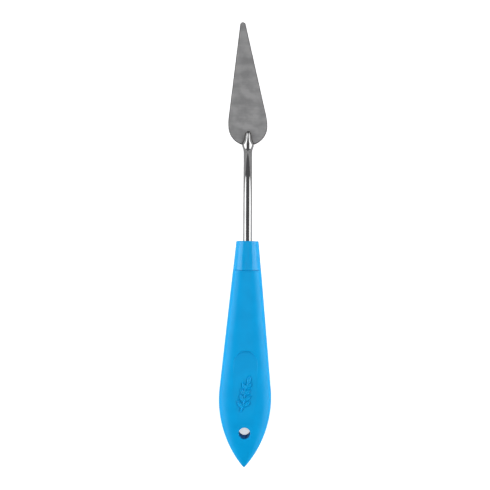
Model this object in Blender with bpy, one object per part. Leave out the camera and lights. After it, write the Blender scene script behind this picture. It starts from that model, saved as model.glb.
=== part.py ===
"""Palette knife: a leaf-shaped steel blade on a cranked round shank, in a moulded handle.

Metres, +Z up. The knife lies on a table with its blade towards +Y: the blade's underside
is flat on z = 0 and the belly of the handle touches the same plane. x = y = 0 is the
middle of the knife's box.

The shapes that are turned, rolled or moulded about the handle's own axis are made in the
handle's frame, with +Y from the butt to the collar, and hang from the empty handle_axis.
"""

import math

import bmesh
import bpy
from mathutils import Matrix, Vector

MM = 0.001

OVERALL_LENGTH = 207.5 * MM
GAP = 0.3 * MM  # between two pieces that touch on the real knife

# Handle, in its own frame. Distances along it are from the tip of the butt.
HANDLE_TILT = math.radians(4.9)
HANDLE_LENGTH = 101.7 * MM
BELLY = 30.8 * MM  # where the handle is widest
BELLY_HALF_WIDTH = 11.7 * MM
BUTT_SIDE_RADIUS = 47.3 * MM  # plan view, from the belly to the point of the butt
SIDE_TAPER = 0.0968  # half width lost per length, from the belly to the collar
BELLY_HALF_THICKNESS = 4.8 * MM
NECK_HALF_THICKNESS = 5.3 * MM
BUTT_FACE_POWER = 2.2
BUTT_BLUNT = 0.05 * MM  # the point is as large as a sharp one this far in
BODY_SECTION_POWER = 2.4
COLLAR_LENGTH = 13.2 * MM
COLLAR_FOOT_HALF_THICKNESS = 5.8 * MM
COLLAR_STEP = 0.15 * MM
COLLAR_END_HALF_THICKNESS = 5.05 * MM
COLLAR_FILLET = 0.45 * MM

HOLE_FROM_BUTT = 16.1 * MM
HOLE_RADIUS = 2.6 * MM
HOLE_CHAMFER = 0.3 * MM

PANEL_HALF_WIDTH = 5.3 * MM
PANEL_TOP = 52.9 * MM  # crown of the arch that ends the flat
PANEL_FLOOR = 4.25 * MM  # height of the flat over the handle's axis, under that crown
PANEL_SLOPE = 0.0143  # rise of the flat towards the butt, where it runs out
PANEL_LENGTH = 40 * MM

# Shank
ROD_RADIUS = 2.0 * MM
TANG_LENGTH = 38 * MM
TANG_GROOVES = 4
TANG_GROOVE_DEPTH = 0.3 * MM
TANG_GROOVE_WIDTH = 1.2 * MM
STRAIGHT_RUN = 24 * MM  # from the collar's end face to the corner of the first bend
SLOPE_RUN = 18.4 * MM  # from that corner to the one behind the blade's heel, along Y
FIRST_BEND_RADIUS = 30 * MM
SECOND_BEND_RADIUS = 6 * MM
SHANK_DRIFT = 0.5 * MM  # how far the shank wanders to -X between the collar and the foot
FOOT_LENGTH = 10.4 * MM  # from that second corner to the nose of the foot

# The forged foot: distance from its nose, half width, height over its flat underside, and
# the height at which it is widest.
FOOT_SECTIONS = (
    (0.0 * MM, 0.45 * MM, 0.40 * MM, 0.10 * MM),
    (0.4 * MM, 0.85 * MM, 0.65 * MM, 0.12 * MM),
    (1.2 * MM, 1.10 * MM, 0.95 * MM, 0.15 * MM),
    (3.1 * MM, 1.50 * MM, 1.50 * MM, 0.20 * MM),
    (5.0 * MM, 2.10 * MM, 2.10 * MM, 0.45 * MM),
    (6.2 * MM, 2.70 * MM, 2.45 * MM, 0.75 * MM),
    (7.4 * MM, 2.68 * MM, 2.75 * MM, 1.10 * MM),
    (8.8 * MM, 2.20 * MM, 3.15 * MM, 1.60 * MM),
    (10.4 * MM, 2.00 * MM, 3.65 * MM, 1.90 * MM),
    (12.0 * MM, 2.00 * MM, 4.00 * MM, 2.00 * MM),
)

# Blade, in its own frame: u runs from the centre of the round heel to the tip.
BLADE_THICKNESS = 0.6 * MM
BLADE_LEAN = math.radians(3.64)  # the tip stands this far to -X of the handle's line
BLADE_HEEL_RADIUS = 9.19 * MM
BLADE_SHOULDER_RADIUS = 21.6 * MM
BLADE_FLANK = math.radians(9.56)
BLADE_TIP_RADIUS = 1.3 * MM
BLADE_TIP_REACH = 50.85 * MM
BLADE_OFFSET = -0.7 * MM  # of the heel's centre from the handle's line, along X

SEAM_THICKNESS = 0.2 * MM
SEAM_MARGIN = 0.4 * MM  # how far the braze shows round the foot
SEAM_INSET = 0.2 * MM  # of the braze from the blade's edge at the heel

# Resolution
RING_POINTS = 48
ROD_POINTS = 24
ARC_STEP = math.radians(6)


def clear_scene():
    for obj in list(bpy.data.objects):
        bpy.data.objects.remove(obj, do_unlink=True)


def new_collection(name):
    collection = bpy.data.collections.new(name)
    bpy.context.scene.collection.children.link(collection)
    return collection


def new_object(name, data, collection, parent=None):
    obj = bpy.data.objects.new(name, data)
    collection.objects.link(obj)
    obj.parent = parent
    return obj


def give_material(obj, colour, roughness, metallic):
    material = bpy.data.materials.new(obj.name)
    material.use_nodes = True
    shader = material.node_tree.nodes["Principled BSDF"]
    shader.inputs["Base Color"].default_value = (*colour, 1)
    shader.inputs["Roughness"].default_value = roughness
    shader.inputs["Metallic"].default_value = metallic
    obj.data.materials.append(material)


def shade(mesh, sharp_degrees=35):
    mesh.shade_smooth()
    mesh.set_sharp_from_angle(angle=math.radians(sharp_degrees))


def loft(name, rings):
    """A closed skin over rings of equally many points, each end closed by a flat face."""
    shape = bmesh.new()
    rows = [[shape.verts.new(point) for point in ring] for ring in rings]
    for row, following in zip(rows, rows[1:]):
        for i in range(len(row)):
            j = (i + 1) % len(row)
            shape.faces.new((row[i], row[j], following[j], following[i]))
    shape.faces.new(rows[0])
    shape.faces.new(rows[-1])
    bmesh.ops.recalc_face_normals(shape, faces=shape.faces)
    mesh = bpy.data.meshes.new(name)
    shape.to_mesh(mesh)
    shape.free()
    shade(mesh)
    return mesh


def arc(centre, radius, start, end):
    """Points on an arc, with both of its ends."""
    steps = max(2, math.ceil(abs(end - start) / ARC_STEP))
    angles = [start + (end - start) * i / steps for i in range(steps + 1)]
    return [
        (centre[0] + radius * math.cos(a), centre[1] + radius * math.sin(a)) for a in angles
    ]


def plate(name, outline, thickness, collection):
    """A flat sheet cut to an outline, centred on z = 0 in its own frame."""
    curve = bpy.data.curves.new(name, "CURVE")
    curve.dimensions = "2D"
    curve.fill_mode = "BOTH"
    curve.extrude = thickness / 2
    spline = curve.splines.new("POLY")
    spline.points.add(len(outline) - 1)
    for point, (x, y) in zip(spline.points, outline):
        point.co = (x, y, 0, 1)
    spline.use_cyclic_u = True
    return new_object(name, curve, collection)


# Handle


def half_width(along):
    """Half of the handle's width in plan, this far from the tip of the butt."""
    tangent = math.atan(SIDE_TAPER)
    arc_end = BELLY + BUTT_SIDE_RADIUS * math.sin(tangent)
    reach = min(along, arc_end) - BELLY
    width = BELLY_HALF_WIDTH - BUTT_SIDE_RADIUS + math.sqrt(BUTT_SIDE_RADIUS**2 - reach**2)
    return width - SIDE_TAPER * max(0, along - arc_end)


def half_thickness(along):
    """Half of the body's thickness, this far from the tip of the butt."""
    if along < BELLY:
        short = 1 - along / BELLY
        return BELLY_HALF_THICKNESS * (1 - short**BUTT_FACE_POWER) ** (1 / BUTT_FACE_POWER)
    neck = HANDLE_LENGTH - COLLAR_LENGTH
    share = (along - BELLY) / (neck - BELLY)
    return BELLY_HALF_THICKNESS + share * (NECK_HALF_THICKNESS - BELLY_HALF_THICKNESS)


def oval(along, width, thickness, power):
    """A ring across the handle's axis: an ellipse at power 2, squarer above it."""
    ring = []
    for i in range(RING_POINTS):
        angle = 2 * math.pi * i / RING_POINTS
        c, s = math.cos(angle), math.sin(angle)
        x = math.copysign(abs(c) ** (2 / power), c) * width
        z = math.copysign(abs(s) ** (2 / power), s) * thickness
        ring.append((x, along, z))
    return ring


def body_rings():
    """From the point of the butt to the line where the collar starts."""
    neck = HANDLE_LENGTH - COLLAR_LENGTH
    butt_steps, taper_steps = 18, 8
    quarter = math.pi / 2
    stations = [BELLY * (1 - math.cos(quarter * i / butt_steps)) for i in range(butt_steps)]
    stations += [BELLY + (neck - BELLY) * i / taper_steps for i in range(taper_steps + 1)]
    rings = []
    for along in stations:
        sized_at = max(along, BUTT_BLUNT)
        width, thickness = half_width(sized_at), half_thickness(sized_at)
        rings.append(oval(along, width, thickness, BODY_SECTION_POWER))
    return rings


def collar_rings():
    """The round nose, from its line to its end face with the rounded rim."""
    foot = HANDLE_LENGTH - COLLAR_LENGTH + COLLAR_STEP
    end = HANDLE_LENGTH - COLLAR_FILLET
    rings = []
    steps = 4
    for i in range(steps + 1):
        share = i / steps
        along = foot + share * (end - foot)
        thickness = COLLAR_FOOT_HALF_THICKNESS + share * (
            COLLAR_END_HALF_THICKNESS - COLLAR_FOOT_HALF_THICKNESS
        )
        rings.append(oval(along, half_width(along), thickness, 2))
    for degrees in (30, 60, 90):
        angle = math.radians(degrees)
        inset = COLLAR_FILLET * (1 - math.cos(angle))
        along = end + COLLAR_FILLET * math.sin(angle)
        rings.append(
            oval(along, half_width(end) - inset, COLLAR_END_HALF_THICKNESS - inset, 2)
        )
    return rings


def cutter(name, mesh, collection, axis):
    obj = new_object(name, mesh, collection, axis)
    obj.hide_render = True
    obj.display_type = "WIRE"
    return obj


def round_mesh(name, lower_radius, upper_radius, depth, matrix):
    """A cylinder or cone frustum of this depth, centred on the matrix's origin along its Z."""
    shape = bmesh.new()
    bmesh.ops.create_cone(
        shape,
        cap_ends=True,
        segments=32,
        radius1=lower_radius,
        radius2=upper_radius,
        depth=depth,
        matrix=matrix,
    )
    mesh = bpy.data.meshes.new(name)
    shape.to_mesh(mesh)
    shape.free()
    return mesh


def socket_cutter(collection, axis):
    depth = TANG_LENGTH + GAP
    overrun = 2 * MM
    middle = HANDLE_LENGTH + (overrun - depth) / 2
    matrix = Matrix.Translation((0, middle, 0)) @ Matrix.Rotation(math.pi / 2, 4, "X")
    radius = ROD_RADIUS + GAP
    return cutter(
        "socket_cutter",
        round_mesh("socket_cutter", radius, radius, depth + overrun, matrix),
        collection,
        axis,
    )


def hole_cutters(collection, axis):
    """The hanging hole, and a cone that breaks its edge on each face, square to that face."""
    centre = Matrix.Translation((0, HOLE_FROM_BUTT, 0))
    depth = 4 * BELLY_HALF_THICKNESS
    cutters = [
        cutter(
            "hole_cutter",
            round_mesh("hole_cutter", HOLE_RADIUS, HOLE_RADIUS, depth, centre),
            collection,
            axis,
        )
    ]
    face = half_thickness(HOLE_FROM_BUTT)
    probe = HOLE_RADIUS
    rise = half_thickness(HOLE_FROM_BUTT + probe) - half_thickness(HOLE_FROM_BUTT - probe)
    slope = math.atan(rise / (2 * probe))
    depth = 4 * HOLE_CHAMFER
    for side, name in ((1, "hole_rim_cutter"), (-1, "hole_back_rim_cutter")):
        matrix = (
            Matrix.Translation((0, HOLE_FROM_BUTT, side * face))
            @ Matrix.Rotation(side * slope, 4, "X")
            @ Matrix.Scale(side, 4, (0, 0, 1))
        )
        narrow = HOLE_RADIUS - depth / 2 + HOLE_CHAMFER
        wide = HOLE_RADIUS + depth / 2 + HOLE_CHAMFER
        mesh = round_mesh(name, narrow, wide, depth, matrix)
        if side < 0:
            mesh.flip_normals()
        cutters.append(cutter(name, mesh, collection, axis))
    return cutters


def panel_cutters(collection, axis):
    """The flat under the thumb, arched at its collar end, on both faces of the handle."""
    crown = PANEL_TOP - PANEL_HALF_WIDTH
    outline = arc((0, crown), PANEL_HALF_WIDTH, 0, math.pi)
    bottom = PANEL_TOP - PANEL_LENGTH
    outline += [(-PANEL_HALF_WIDTH, bottom), (PANEL_HALF_WIDTH, bottom)]
    cutters = []
    for side, name in ((1, "panel_cutter"), (-1, "back_panel_cutter")):
        shape = bmesh.new()
        verts = [
            shape.verts.new((x, y, side * (PANEL_FLOOR + PANEL_SLOPE * (PANEL_TOP - y))))
            for x, y in outline
        ]
        face = shape.faces.new(verts)
        made = bmesh.ops.extrude_face_region(shape, geom=[face])["geom"]
        raised = [part for part in made if isinstance(part, bmesh.types.BMVert)]
        bmesh.ops.translate(shape, verts=raised, vec=(0, 0, side * 3 * MM))
        bmesh.ops.recalc_face_normals(shape, faces=shape.faces)
        mesh = bpy.data.meshes.new(name)
        shape.to_mesh(mesh)
        shape.free()
        cutters.append(cutter(name, mesh, collection, axis))
    return cutters


def add_handle(parts, cutters, axis):
    handle = new_object("handle", loft("handle", body_rings() + collar_rings()), parts, axis)
    tools = [socket_cutter(cutters, axis)]
    tools += hole_cutters(cutters, axis)
    tools += panel_cutters(cutters, axis)
    for tool in tools:
        cut = handle.modifiers.new(tool.name, "BOOLEAN")
        cut.operation = "DIFFERENCE"
        cut.object = tool
    give_material(handle, (0.0, 0.31, 0.70), 0.38, 0)


def handle_height():
    """Height of the handle's axis at the butt, so that the tilted handle just touches z = 0."""
    steps = 400
    lowest = min(
        s * math.sin(HANDLE_TILT) - half_thickness(s) * math.cos(HANDLE_TILT)
        for s in (BELLY * i / steps for i in range(steps + 1))
    )
    return -lowest


# Shank


def on_axis(along):
    """(y, z) of the point of the handle's axis this far from the butt."""
    return (
        -OVERALL_LENGTH / 2 + along * math.cos(HANDLE_TILT),
        handle_height() + along * math.sin(HANDLE_TILT),
    )


def bend(before, corner, after, radius):
    """(y, z, heading) along the arc that rounds a corner of the centreline."""
    into = Vector((corner[0] - before[0], corner[1] - before[1])).normalized()
    out = Vector((after[0] - corner[0], after[1] - corner[1])).normalized()
    start_heading = math.atan2(into.y, into.x)
    end_heading = math.atan2(out.y, out.x)
    turn = end_heading - start_heading
    side = math.copysign(1, turn)
    start = Vector(corner) - into * radius * math.tan(abs(turn) / 2)
    centre = start + Vector((-into.y, into.x)) * side * radius
    steps = max(2, math.ceil(abs(turn) / ARC_STEP))
    stations = []
    for i in range(steps + 1):
        heading = start_heading + turn * i / steps
        outward = Vector((math.sin(heading), -math.cos(heading))) * side
        point = centre + outward * radius
        stations.append((point.x, point.y, heading))
    return stations


def foot_size(distance):
    """(half width, height, height where widest) of the foot this far from its nose."""
    for near, far in zip(FOOT_SECTIONS, FOOT_SECTIONS[1:]):
        if distance <= far[0]:
            share = (distance - near[0]) / (far[0] - near[0])
            return tuple(a + share * (b - a) for a, b in zip(near[1:], far[1:]))
    return (ROD_RADIUS, 2 * ROD_RADIUS, ROD_RADIUS)


def rod_ring(y, z, heading, width, top, widest, drift):
    """A ring across the centreline. top and widest are heights over the rod's underside."""
    ring = []
    for i in range(ROD_POINTS):
        angle = 2 * math.pi * i / ROD_POINTS
        x, lift = math.cos(angle) * width, math.sin(angle)
        reach = (top - widest) if lift > 0 else widest
        height = widest + lift * reach - ROD_RADIUS
        ring.append((x - drift, y - height * math.sin(heading), z + height * math.cos(heading)))
    return ring


def tang_stations():
    """(distance from the butt, radius): a chamfered end, then the grooves the handle grips."""
    start = HANDLE_LENGTH - TANG_LENGTH
    chamfer = 0.6 * MM
    stations = [(start, ROD_RADIUS - chamfer), (start + chamfer, ROD_RADIUS)]
    ramp = TANG_GROOVE_DEPTH
    for i in range(TANG_GROOVES):
        low = start + (2 * i + 2) * TANG_GROOVE_WIDTH
        high = low + TANG_GROOVE_WIDTH
        stations += [
            (low, ROD_RADIUS),
            (low + ramp, ROD_RADIUS - TANG_GROOVE_DEPTH),
            (high - ramp, ROD_RADIUS - TANG_GROOVE_DEPTH),
            (high, ROD_RADIUS),
        ]
    return stations


def shank_rings():
    collar = on_axis(HANDLE_LENGTH)
    corner = on_axis(HANDLE_LENGTH + STRAIGHT_RUN)
    heel = (corner[0] + SLOPE_RUN, BLADE_THICKNESS + GAP + ROD_RADIUS)
    nose = (heel[0] + FOOT_LENGTH, heel[1])
    rings = []
    for along, radius in tang_stations():
        y, z = on_axis(along)
        rings.append(rod_ring(y, z, HANDLE_TILT, radius, ROD_RADIUS + radius, ROD_RADIUS, 0))
    path = [(*collar, HANDLE_TILT)]
    path += bend(collar, corner, heel, FIRST_BEND_RADIUS)
    path += bend(corner, heel, nose, SECOND_BEND_RADIUS)
    straight = [(nose[0] - section[0], nose[1], 0) for section in reversed(FOOT_SECTIONS)]
    path += [station for station in straight if station[0] > path[-1][0] + 0.1 * MM]
    for y, z, heading in path:
        width, top, widest = foot_size(nose[0] - y)
        share = min(1, max(0, (y - collar[0]) / (heel[0] - collar[0])))
        drift = share * SHANK_DRIFT
        rings.append(rod_ring(y, z, heading, width, top, widest, drift))
    return rings


def add_shank(parts):
    shank = new_object("shank", loft("shank", shank_rings()), parts)
    give_material(shank, (0.62, 0.62, 0.62), 0.12, 1)


def nose_of_foot():
    corner = on_axis(HANDLE_LENGTH + STRAIGHT_RUN)
    return corner[0] + SLOPE_RUN + FOOT_LENGTH


# Blade


def blade_outline():
    """(v, u) round the blade, from the middle of the heel by the right flank to the tip."""
    tip_centre = BLADE_TIP_REACH - BLADE_TIP_RADIUS
    shoulder = BLADE_HEEL_RADIUS - BLADE_SHOULDER_RADIUS
    from_centre = BLADE_TIP_RADIUS + tip_centre * math.sin(BLADE_FLANK)
    shoulder_rise = (
        from_centre - BLADE_SHOULDER_RADIUS - shoulder * math.cos(BLADE_FLANK)
    ) / math.sin(BLADE_FLANK)
    side = arc((0, 0), BLADE_HEEL_RADIUS, -math.pi / 2, 0)
    side += arc((shoulder, shoulder_rise), BLADE_SHOULDER_RADIUS, 0, BLADE_FLANK)
    side += arc((0, tip_centre), BLADE_TIP_RADIUS, BLADE_FLANK, math.pi / 2)
    return side + [(-v, u) for v, u in reversed(side[1:-1])]


def blade_centre():
    """(x, y) of the centre of the blade's round heel."""
    reach = (BLADE_TIP_REACH - BLADE_TIP_RADIUS) * math.cos(BLADE_LEAN) + BLADE_TIP_RADIUS
    return BLADE_OFFSET, OVERALL_LENGTH / 2 - reach


def add_blade(parts):
    blade = plate("blade", blade_outline(), BLADE_THICKNESS, parts)
    blade.location = (*blade_centre(), BLADE_THICKNESS / 2)
    blade.rotation_euler = (0, 0, BLADE_LEAN)
    give_material(blade, (0.26, 0.26, 0.26), 0.34, 1)


def seam_half_width(from_nose, from_heel):
    """The seam follows the foot, but stays on the round heel of the blade."""
    chord = math.sqrt(BLADE_HEEL_RADIUS**2 - (BLADE_HEEL_RADIUS - from_heel) ** 2)
    return min(foot_size(from_nose)[0] + SEAM_MARGIN, chord - SEAM_INSET)


def add_braze_seam(parts):
    """The film of braze between the foot and the blade, with the rim that shows round it."""
    length = nose_of_foot() - (blade_centre()[1] - BLADE_HEEL_RADIUS + SEAM_INSET)
    steps = 16
    side = []
    for i in range(steps + 1):
        from_nose = length * (1 - i / steps)
        width = seam_half_width(from_nose, length - from_nose + SEAM_INSET)
        side.append((width, -from_nose))
    nose_width = side[-1][0]
    round_nose = arc((0, 0), nose_width, 0, math.pi / 2)[1:]
    side += [(x, y * SEAM_MARGIN / nose_width) for x, y in round_nose]
    outline = side + [(-x, y) for x, y in reversed(side[:-1])]
    seam = plate("braze_seam", outline, SEAM_THICKNESS, parts)
    seam.location = (-SHANK_DRIFT, nose_of_foot(), BLADE_THICKNESS + GAP / 2)
    give_material(seam, (0.12, 0.115, 0.11), 0.5, 1)


def main():
    clear_scene()
    parts = new_collection("palette_knife")
    cutters = new_collection("cutters")
    axis = new_object("handle_axis", None, parts)
    axis.location = (0, *on_axis(0))
    axis.rotation_euler = (HANDLE_TILT, 0, 0)
    add_handle(parts, cutters, axis)
    add_shank(parts)
    add_blade(parts)
    add_braze_seam(parts)


main()
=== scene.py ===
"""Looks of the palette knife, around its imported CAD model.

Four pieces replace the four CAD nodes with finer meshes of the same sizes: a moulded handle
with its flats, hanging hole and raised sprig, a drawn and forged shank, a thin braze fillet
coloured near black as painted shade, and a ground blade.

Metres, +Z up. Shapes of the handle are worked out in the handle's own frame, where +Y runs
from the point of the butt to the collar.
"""

import math

import bmesh
import bpy
import numpy as np
from mathutils import Matrix, Vector
from mathutils.geometry import delaunay_2d_cdt
from mathutils.kdtree import KDTree


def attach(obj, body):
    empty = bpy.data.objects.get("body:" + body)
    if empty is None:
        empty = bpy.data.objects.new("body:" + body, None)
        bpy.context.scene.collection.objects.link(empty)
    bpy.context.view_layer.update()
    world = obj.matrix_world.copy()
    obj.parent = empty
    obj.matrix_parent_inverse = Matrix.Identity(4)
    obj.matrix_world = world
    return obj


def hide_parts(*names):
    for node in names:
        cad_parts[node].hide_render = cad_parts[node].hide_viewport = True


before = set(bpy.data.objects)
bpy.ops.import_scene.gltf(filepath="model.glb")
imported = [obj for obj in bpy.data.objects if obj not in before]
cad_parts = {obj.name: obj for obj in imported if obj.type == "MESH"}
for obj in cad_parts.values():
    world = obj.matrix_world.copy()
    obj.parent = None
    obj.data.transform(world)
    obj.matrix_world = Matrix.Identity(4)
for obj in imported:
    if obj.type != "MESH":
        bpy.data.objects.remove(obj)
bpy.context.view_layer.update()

MM = 0.001

# The design's own dimensions, the same as in the CAD source.
OVERALL_LENGTH = 207.5 * MM
HANDLE_TILT = math.radians(4.9)
HANDLE_LENGTH = 101.7 * MM
BELLY = 30.8 * MM
BELLY_HALF_WIDTH = 11.7 * MM
BUTT_SIDE_RADIUS = 47.3 * MM
SIDE_TAPER = 0.0968
BELLY_HALF_THICKNESS = 4.8 * MM
NECK_HALF_THICKNESS = 5.3 * MM
BUTT_FACE_POWER = 2.2
BUTT_BLUNT = 0.05 * MM
BODY_SECTION_POWER = 2.4
COLLAR_LENGTH = 13.2 * MM
COLLAR_FOOT_HALF_THICKNESS = 5.8 * MM
COLLAR_END_HALF_THICKNESS = 5.05 * MM
COLLAR_FILLET = 0.45 * MM
NECK = HANDLE_LENGTH - COLLAR_LENGTH

HOLE_FROM_BUTT = 16.1 * MM
HOLE_RADIUS = 2.6 * MM
HOLE_FILLET = 0.4 * MM

PANEL_HALF_WIDTH = 5.3 * MM
PANEL_TOP = 52.9 * MM
PANEL_CROWN = PANEL_TOP - PANEL_HALF_WIDTH  # centre of the arch
PANEL_FLOOR = 4.25 * MM
PANEL_SLOPE = 0.0143
PANEL_WALL_IN = 0.30 * MM  # how far the wall's foot stands inside the outline
PANEL_WALL_OUT = 0.12 * MM  # and its rounded top edge outside it
PANEL_RUN_OUT = 0.02 * MM  # softness of the line where the flat leaves the face

ROD_RADIUS = 2.0 * MM
TANG_LENGTH = 38 * MM
TANG_CHAMFER = 0.6 * MM
TANG_CLEARANCE = 0.3 * MM  # between the tang's end and the socket's
TANG_GROOVES = 4
TANG_GROOVE_DEPTH = 0.3 * MM
TANG_GROOVE_WIDTH = 1.2 * MM
STRAIGHT_RUN = 24 * MM
SLOPE_RUN = 18.4 * MM
FIRST_BEND_RADIUS = 30 * MM
SECOND_BEND_RADIUS = 6 * MM
SHANK_DRIFT = 0.5 * MM
FOOT_LENGTH = 10.4 * MM

# The forged foot, by distance from its nose: half width, then heights over the rod's underside
# of its ridge and of its widest line, and the power of its section: 2 is round, less is ridged.
FOOT_SECTIONS = (
    (0.0 * MM, 0.45 * MM, 0.40 * MM, 0.10 * MM, 1.6),
    (0.4 * MM, 0.85 * MM, 0.68 * MM, 0.12 * MM, 1.5),
    (1.2 * MM, 1.10 * MM, 1.02 * MM, 0.15 * MM, 1.45),
    (3.1 * MM, 1.50 * MM, 1.55 * MM, 0.20 * MM, 1.5),
    (5.0 * MM, 2.10 * MM, 2.10 * MM, 0.30 * MM, 1.5),
    (6.2 * MM, 2.68 * MM, 2.36 * MM, 0.40 * MM, 1.45),
    (7.4 * MM, 2.60 * MM, 2.68 * MM, 0.75 * MM, 1.45),
    (8.8 * MM, 2.15 * MM, 3.12 * MM, 1.50 * MM, 1.5),
    (10.4 * MM, 2.00 * MM, 3.65 * MM, 1.90 * MM, 1.8),
    (12.0 * MM, 2.00 * MM, 4.00 * MM, 2.00 * MM, 2.0),
)

BLADE_THICKNESS = 0.6 * MM
BLADE_TIP_THICKNESS = 0.42 * MM
BLADE_LEAN = math.radians(3.64)
BLADE_HEEL_RADIUS = 9.19 * MM
BLADE_SHOULDER_RADIUS = 21.6 * MM
BLADE_FLANK = math.radians(9.56)
BLADE_TIP_RADIUS = 1.3 * MM
BLADE_TIP_REACH = 50.85 * MM
BLADE_OFFSET = -0.7 * MM
GAP = 0.3 * MM  # between the blade and the foot in the CAD model, filled by the braze here
SEAM_MARGIN = 0.4 * MM
SEAM_INSET = 0.2 * MM

# Camera: square to the handle's face, over a point of its axis.
CAMERA_DISTANCE = 322 * MM
CAMERA_OVER = 99.9 * MM  # from the butt
CAMERA_ROLL = math.radians(0.92)
CAMERA_LENS = 52.57  # millimetres, like the sensor's width
CAMERA_SENSOR = 36
CAMERA_SHIFT = -0.005  # share of the picture
CAMERA_CLIP = 10 * MM


def clamp(value, low=0.0, high=1.0):
    """The value, held between the two limits."""
    return min(high, max(low, value))


def smooth(value):
    """0 below 0, 1 above 1 and a soft S between them."""
    t = clamp(value)
    return t * t * t * (t * (6 * t - 15) + 10)


# Meshes

SHARP_EDGE = math.radians(60)  # shading breaks where faces meet at more than this
WITHIN_LINES = 1  # the kind of triangulation that stops at the outermost lines
SAME_POINT = 1e-5  # points closer than this are one


def finish_mesh(name, shape):
    """The finished mesh of a bmesh, with faces outwards and smooth shading."""
    bmesh.ops.recalc_face_normals(shape, faces=shape.faces)
    mesh = bpy.data.meshes.new(name)
    shape.to_mesh(mesh)
    shape.free()
    mesh.shade_smooth()
    mesh.set_sharp_from_angle(angle=SHARP_EDGE)
    return mesh


def add_piece(name, mesh, material, replaced, matrix=None):
    """Puts a mesh in the scene on the root body, in place of a CAD node."""
    if matrix is not None:
        mesh.transform(matrix)
    piece = bpy.data.objects.new(name, mesh)
    bpy.context.scene.collection.objects.link(piece)
    mesh.materials.append(material)
    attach(piece, "root")
    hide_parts(replaced)


def skin(shape, rings, close_start=True, close_end=True):
    """Faces between rings of equally many points. Returns the rows of vertices."""
    rows = [[shape.verts.new(point) for point in ring] for ring in rings]
    for row, following in zip(rows, rows[1:]):
        for i in range(len(row)):
            j = (i + 1) % len(row)
            shape.faces.new((row[i], row[j], following[j], following[i]))
    if close_start:
        shape.faces.new(rows[0])
    if close_end:
        shape.faces.new(rows[-1])
    return rows


def arc(centre, radius, start, end, step):
    """Points on an arc, with both of its ends, about this far apart."""
    steps = max(2, math.ceil(abs(end - start) * radius / step))
    angles = [start + (end - start) * i / steps for i in range(steps + 1)]
    return [(centre[0] + radius * math.cos(a), centre[1] + radius * math.sin(a)) for a in angles]


def hex_grid(low, high, spacing):
    """Points of a triangular grid over a rectangle, from low to high."""
    points = []
    pitch = spacing * math.sqrt(3) / 2
    rows = int((high[1] - low[1]) / pitch)
    for j in range(rows + 1):
        start = low[0] + (spacing / 2 if j % 2 else 0)
        columns = int((high[0] - start) / spacing)
        points += [(start + i * spacing, low[1] + j * pitch) for i in range(columns + 1)]
    return points


def triangulate(lines, loops, fill, clearance):
    """Delaunay triangles over a flat domain, in millimetres.

    lines and loops are open and closed runs of points that the triangles' edges follow. The
    points of fill are used where they keep this clearance from all of those. Returns the
    points and, for each triangle, the indices of its corners.
    """
    points, edges = [], []
    for run in lines + loops:
        first = len(points)
        points += run
        edges += [(first + i, first + i + 1) for i in range(len(run) - 1)]
        if run in loops:
            edges.append((first + len(run) - 1, first))
    tree = KDTree(len(points))
    for i, (x, y) in enumerate(points):
        tree.insert((x, y, 0), i)
    tree.balance()
    points += [p for p in fill if tree.find((p[0], p[1], 0))[2] > clearance]
    vectors = [Vector(point) for point in points]
    made = delaunay_2d_cdt(vectors, edges, [], WITHIN_LINES, SAME_POINT)
    return made[0], made[2]


# Handle, in its own frame


def half_width(along):
    """Half width in plan: an arc from the butt past the belly, then a straight taper."""
    tangent = math.atan(SIDE_TAPER)
    arc_end = BELLY + BUTT_SIDE_RADIUS * math.sin(tangent)
    reach = min(along, arc_end) - BELLY
    width = BELLY_HALF_WIDTH - BUTT_SIDE_RADIUS + math.sqrt(BUTT_SIDE_RADIUS**2 - reach**2)
    return width - SIDE_TAPER * max(0, along - arc_end)


def half_thickness(along):
    """Half thickness: a blunt curve from the butt to the belly, then straight to the neck."""
    if along < BELLY:
        short = 1 - along / BELLY
        return BELLY_HALF_THICKNESS * (1 - short**BUTT_FACE_POWER) ** (1 / BUTT_FACE_POWER)
    share = (along - BELLY) / (NECK - BELLY)
    return BELLY_HALF_THICKNESS + share * (NECK_HALF_THICKNESS - BELLY_HALF_THICKNESS)


def section(angle, width, thickness, power):
    """(x, z) on the upper half of a handle section: an ellipse at power 2, squarer above."""
    across = math.cos(angle)
    return width * across, thickness * (1 - abs(across) ** power) ** (1 / power)


SHEET_SCALE = 8.0  # millimetres of the flat domain per radian of section angle
BUTT_SHEET = BELLY / MM * math.pi / 2  # length of the domain up to the belly


def sheet_row(along):
    """The domain's second coordinate for a distance from the butt. It crowds points there."""
    if along < BELLY:
        return BUTT_SHEET * math.acos(1 - along / BELLY) / (math.pi / 2)
    return BUTT_SHEET + (along - BELLY) / MM


def sheet_along(row):
    """The distance from the butt for a row of the domain."""
    if row < BUTT_SHEET:
        return BELLY * (1 - math.cos(math.pi / 2 * max(0, row) / BUTT_SHEET))
    return BELLY + (row - BUTT_SHEET) * MM


def to_sheet(x, along):
    """Domain point over a point of the plan."""
    return SHEET_SCALE * math.acos(clamp(x / half_width(along), -1, 1)), sheet_row(along)


def panel_distance(x, along):
    """Signed distance in plan from the outline of the thumb flat, negative inside it."""
    if along < PANEL_CROWN:
        return abs(x) - PANEL_HALF_WIDTH
    return math.hypot(x, along - PANEL_CROWN) - PANEL_HALF_WIDTH


def panel_cut(x, along, height):
    """How deep the flat is cut below the handle's face. It runs out softly near the belly."""
    floor = PANEL_FLOOR + PANEL_SLOPE * (PANEL_TOP - along)
    depth = height - floor
    depth = (depth + math.hypot(depth, PANEL_RUN_OUT)) / 2
    wall = PANEL_WALL_IN + PANEL_WALL_OUT
    return depth * (1 - smooth((panel_distance(x, along) + PANEL_WALL_IN) / wall))


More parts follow.
